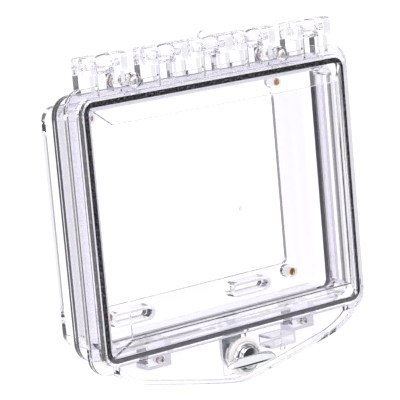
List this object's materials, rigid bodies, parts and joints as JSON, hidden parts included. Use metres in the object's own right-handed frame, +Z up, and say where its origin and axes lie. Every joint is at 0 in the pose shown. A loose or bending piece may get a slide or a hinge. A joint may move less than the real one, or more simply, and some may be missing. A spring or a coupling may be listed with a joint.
{
  "type": "thermostat lock box",
  "caption": "Clear wall-mounted lock box for a thermostat: a gasketed cover on top hinges closes a framed back box, held by a cam lock with a T-handle.",
  "frame": {"origin": "centre of the wall face, on the plane that lies against the wall, midway between the side walls and between the top and bottom walls of the case", "axes": "+Z up the wall, +X to the right for someone facing the box, the cover faces -Y"},
  "size_m": [0.245, 0.0654, 0.248],
  "materials": {
    "clear_plastic": "clear polished polycarbonate with a faint violet tint",
    "foam_rubber": "matt black closed-cell foam",
    "nylon": "off-white nylon",
    "chrome": "bright chrome plating",
    "cam_steel": "zinc-plated pressed steel",
    "screw_steel": "bright zinc-plated steel",
    "brass": "turned brass"
  },
  "bodies": {
    "base": {"back_box": "clear_plastic", "spacer_frame": "clear_plastic", "front_frame": "clear_plastic", "box_insert_tl": "brass", "box_insert_tr": "brass", "box_insert_bl": "brass", "box_insert_br": "brass", "frame_insert_tl": "brass", "frame_insert_tr": "brass", "frame_insert_bl": "brass", "frame_insert_br": "brass", "frame_screw_tl": "screw_steel", "frame_screw_tr": "screw_steel", "frame_screw_bl": "screw_steel", "frame_screw_br": "screw_steel", "hinge_pin_1": "clear_plastic", "hinge_pin_2": "clear_plastic", "hinge_pin_3": "clear_plastic", "hinge_pin_4": "clear_plastic", "hinge_pin_5": "clear_plastic"},
    "cover": {"cover_shell": "clear_plastic", "cover_gasket": "foam_rubber", "lock_washer": "nylon", "lock_body": "chrome", "lock_nut": "screw_steel"},
    "lock_rotor": {"lock_spindle": "screw_steel", "lock_handle": "chrome", "lock_cam": "cam_steel", "cam_screw": "screw_steel"}
  },
  "joints": [
    {"name": "cover_hinge", "type": "hinge", "parent": "base", "child": "cover", "pos_m": [0, -0.04, 0.112], "axis": [-1, 0, 0], "range_deg": [0, 170]},
    {"name": "lock_turn", "type": "hinge", "parent": "cover", "child": "lock_rotor", "pos_m": [0, -0.05, -0.1075], "axis": [0, 1, 0], "range_deg": [0, 90]}
  ]
}
